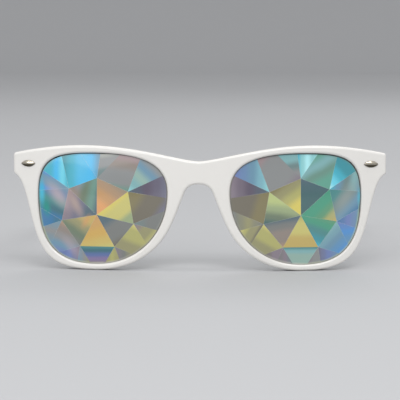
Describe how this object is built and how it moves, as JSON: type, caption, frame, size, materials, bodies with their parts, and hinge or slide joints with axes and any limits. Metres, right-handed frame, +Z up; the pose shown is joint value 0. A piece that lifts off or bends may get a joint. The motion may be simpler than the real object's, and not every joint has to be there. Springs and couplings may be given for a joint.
{
  "type": "diffraction glasses",
  "caption": "Glasses with a thick moulded front, faceted clear lenses backed by diffraction film, and folding temples.",
  "frame": {"origin": "on the surface that the open glasses stand on, under the middle of their bounding box", "axes": "+X to the wearer's left, +Y from the front towards the temple tips, +Z up"},
  "size_m": [0.146, 0.1468, 0.0488],
  "materials": {
    "frame_plastic": "glossy off-white moulded plastic",
    "temple_plastic": "glossy off-white moulded plastic",
    "lens_acrylic": "polished facets with rainbow diffraction colours",
    "grating_film": "smooth iridescent film",
    "hinge_metal": "plain stamped metal",
    "screw_metal": "turned steel",
    "rivet_metal": "polished metal"
  },
  "bodies": {
    "front": {"front_frame": "frame_plastic", "left_lens": "lens_acrylic", "left_grating_film": "grating_film", "left_front_hinge_leaf": "hinge_metal", "left_hinge_screw": "screw_metal", "left_front_rivet": "rivet_metal", "right_lens": "lens_acrylic", "right_grating_film": "grating_film", "right_front_hinge_leaf": "hinge_metal", "right_hinge_screw": "screw_metal", "right_front_rivet": "rivet_metal"},
    "left_arm": {"left_temple": "temple_plastic", "left_temple_hinge_leaf": "hinge_metal", "left_temple_rivets": "rivet_metal"},
    "right_arm": {"right_temple": "temple_plastic", "right_temple_hinge_leaf": "hinge_metal", "right_temple_rivets": "rivet_metal"}
  },
  "joints": [
    {"name": "left_temple_hinge", "type": "hinge", "parent": "front", "child": "left_arm", "pos_m": [0.067, -0.05706, 0.0414], "axis": [0, 0, 1], "range_deg": [0, 91.5]},
    {"name": "right_temple_hinge", "type": "hinge", "parent": "front", "child": "right_arm", "pos_m": [-0.067, -0.05706, 0.0414], "axis": [0, 0, -1], "range_deg": [0, 85.5]}
  ]
}
